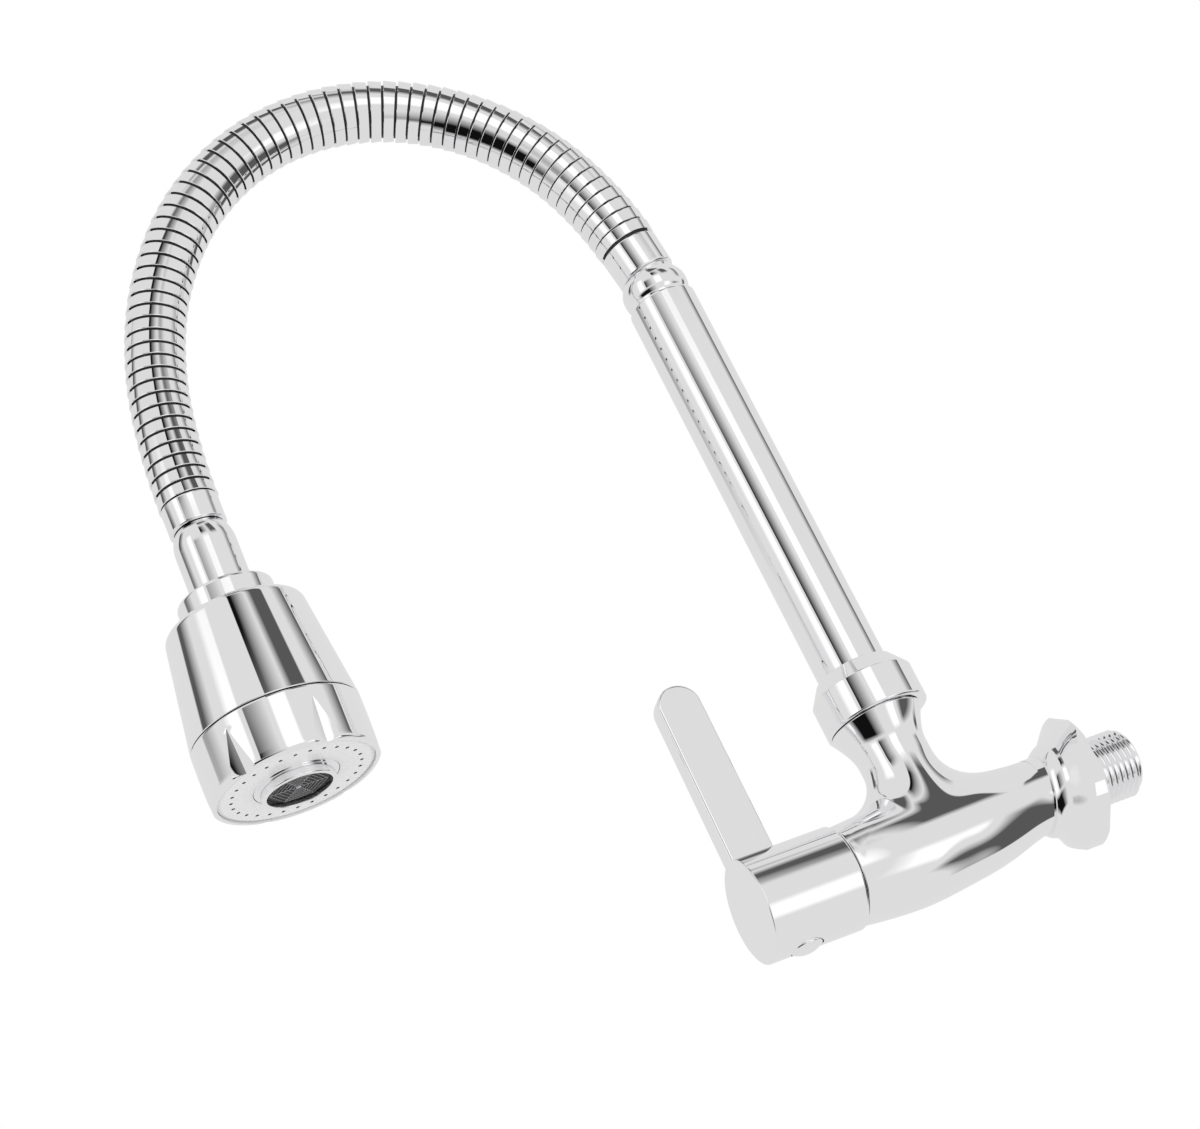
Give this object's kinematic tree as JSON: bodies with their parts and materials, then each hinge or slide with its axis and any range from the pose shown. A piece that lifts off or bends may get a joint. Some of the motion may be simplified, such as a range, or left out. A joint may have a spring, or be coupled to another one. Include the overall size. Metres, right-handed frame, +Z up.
{
  "type": "wall tap with flexible spout",
  "caption": "Wall-mounted quarter-turn tap with an upright riser, a bendable ribbed gooseneck hose and a twist-selectable spray head.",
  "frame": {"origin": "centre of the wrench flange's rear face, on the inlet thread's axis, where the tap meets the wall connection", "axes": "+Y into the wall along the inlet thread, +Z up along the riser, +X to the right of someone who faces the tap"},
  "size_m": [0.0651, 0.255, 0.3237],
  "materials": {
    "chrome": "bright polished chromium plate on brass and zinc",
    "hose_chrome": "bright polished bands of a flexible metal hose",
    "brass": "machined brass",
    "rubber": "black sealing rubber",
    "ceramic": "lapped white ceramic; gloss plastic stands in for it",
    "white_plastic": "moulded white plastic",
    "hose_rubber": "dark flexible water hose",
    "grey_plastic": "light grey spray plate, satin",
    "mesh_steel": "fine steel mesh in rings",
    "screw_steel": "steel grub screw"
  },
  "bodies": {
    "valve": {"valve_body": "chrome", "riser_nut": "chrome", "cartridge_body": "brass", "seat_seal": "rubber", "fixed_disc": "ceramic", "cartridge_o_ring": "rubber"},
    "lever": {"lever_handle": "chrome", "screw_plug": "chrome", "handle_screw": "screw_steel", "cartridge_spindle": "brass", "moving_disc": "ceramic", "spindle_o_ring": "rubber"},
    "riser": {"riser_tube": "chrome", "riser_spigot": "brass", "riser_o_rings": "rubber", "slip_ring": "white_plastic", "collar_adapter": "chrome", "lower_ferrule": "chrome", "lower_barb": "brass", "water_hose": "hose_rubber"},
    "hose_1": {"hose_section_1": "hose_chrome"},
    "hose_2": {"hose_section_2": "hose_chrome"},
    "hose_3": {"hose_section_3": "hose_chrome"},
    "hose_4": {"hose_section_4": "hose_chrome"},
    "hose_5": {"hose_section_5": "hose_chrome"},
    "hose_6": {"hose_section_6": "hose_chrome"},
    "hose_7": {"hose_section_7": "hose_chrome"},
    "hose_8": {"hose_section_8": "hose_chrome"},
    "hose_9": {"hose_section_9": "hose_chrome"},
    "hose_end": {"upper_ferrule": "chrome", "upper_barb": "brass", "head_connector": "chrome", "head_o_ring": "rubber"},
    "head": {"head_collar": "chrome", "head_housing": "chrome", "flow_core": "white_plastic"},
    "selector": {"twist_ring": "chrome", "spray_face": "grey_plastic", "aerator_housing": "chrome", "aerator_mesh": "mesh_steel", "diverter_disc": "white_plastic", "face_spacer": "white_plastic"}
  },
  "joints": [
    {"name": "lever_turn", "type": "hinge", "parent": "valve", "child": "lever", "pos_m": [0, -0.095, -0.0036], "axis": [0, 1, 0], "range_deg": [-90, 0]},
    {"name": "spout_swivel", "type": "hinge", "parent": "valve", "child": "riser", "pos_m": [0, -0.0476, 0.05], "axis": [0, 0, 1], "continuous": true},
    {"name": "hose_bend_1", "type": "hinge", "parent": "riser", "child": "hose_1", "pos_m": [-0.00015, -0.04886, 0.21233], "axis": [0.9925, -0.1219, 0], "range_deg": [-12, 2], "deforming": ["water_hose"]},
    {"name": "hose_bend_2", "type": "hinge", "parent": "hose_1", "child": "hose_2", "pos_m": [-0.00104, -0.05609, 0.24199], "axis": [0.9925, -0.1219, 0], "range_deg": [-12, 2]},
    {"name": "hose_bend_3", "type": "hinge", "parent": "hose_2", "child": "hose_3", "pos_m": [-0.00298, -0.07189, 0.26796], "axis": [0.9925, -0.1219, 0], "range_deg": [-12, 2]},
    {"name": "hose_bend_4", "type": "hinge", "parent": "hose_3", "child": "hose_4", "pos_m": [-0.00594, -0.09598, 0.28632], "axis": [0.9925, -0.1219, 0], "range_deg": [-12, 2]},
    {"name": "hose_bend_5", "type": "hinge", "parent": "hose_4", "child": "hose_5", "pos_m": [-0.00955, -0.12535, 0.29317], "axis": [0.9925, -0.1219, 0], "range_deg": [-12, 2]},
    {"name": "hose_bend_6", "type": "hinge", "parent": "hose_5", "child": "hose_6", "pos_m": [-0.01314, -0.15463, 0.28612], "axis": [0.9925, -0.1219, 0], "range_deg": [-12, 2]},
    {"name": "hose_bend_7", "type": "hinge", "parent": "hose_6", "child": "hose_7", "pos_m": [-0.01605, -0.17833, 0.26726], "axis": [0.9925, -0.1219, 0], "range_deg": [-12, 2]},
    {"name": "hose_bend_8", "type": "hinge", "parent": "hose_7", "child": "hose_8", "pos_m": [-0.01803, -0.19443, 0.24141], "axis": [0.9925, -0.1219, 0], "range_deg": [-12, 2]},
    {"name": "hose_bend_9", "type": "hinge", "parent": "hose_8", "child": "hose_9", "pos_m": [-0.01912, -0.20335, 0.2122], "axis": [0.9925, -0.1219, 0], "range_deg": [-12, 2]},
    {"name": "hose_bend_10", "type": "hinge", "parent": "hose_9", "child": "hose_end", "pos_m": [-0.01954, -0.20678, 0.1818], "axis": [0.9925, -0.1219, 0], "range_deg": [-12, 2]},
    {"name": "head_swivel", "type": "hinge", "parent": "hose_end", "child": "head", "pos_m": [-0.01976, -0.20852, 0.14183], "axis": [-0.0053, -0.0433, -0.999], "continuous": true},
    {"name": "selector_twist", "type": "hinge", "parent": "head", "child": "selector", "pos_m": [-0.02, -0.21051, 0.09588], "axis": [-0.0053, -0.0433, -0.999], "range_deg": [0, 90]}
  ]
}
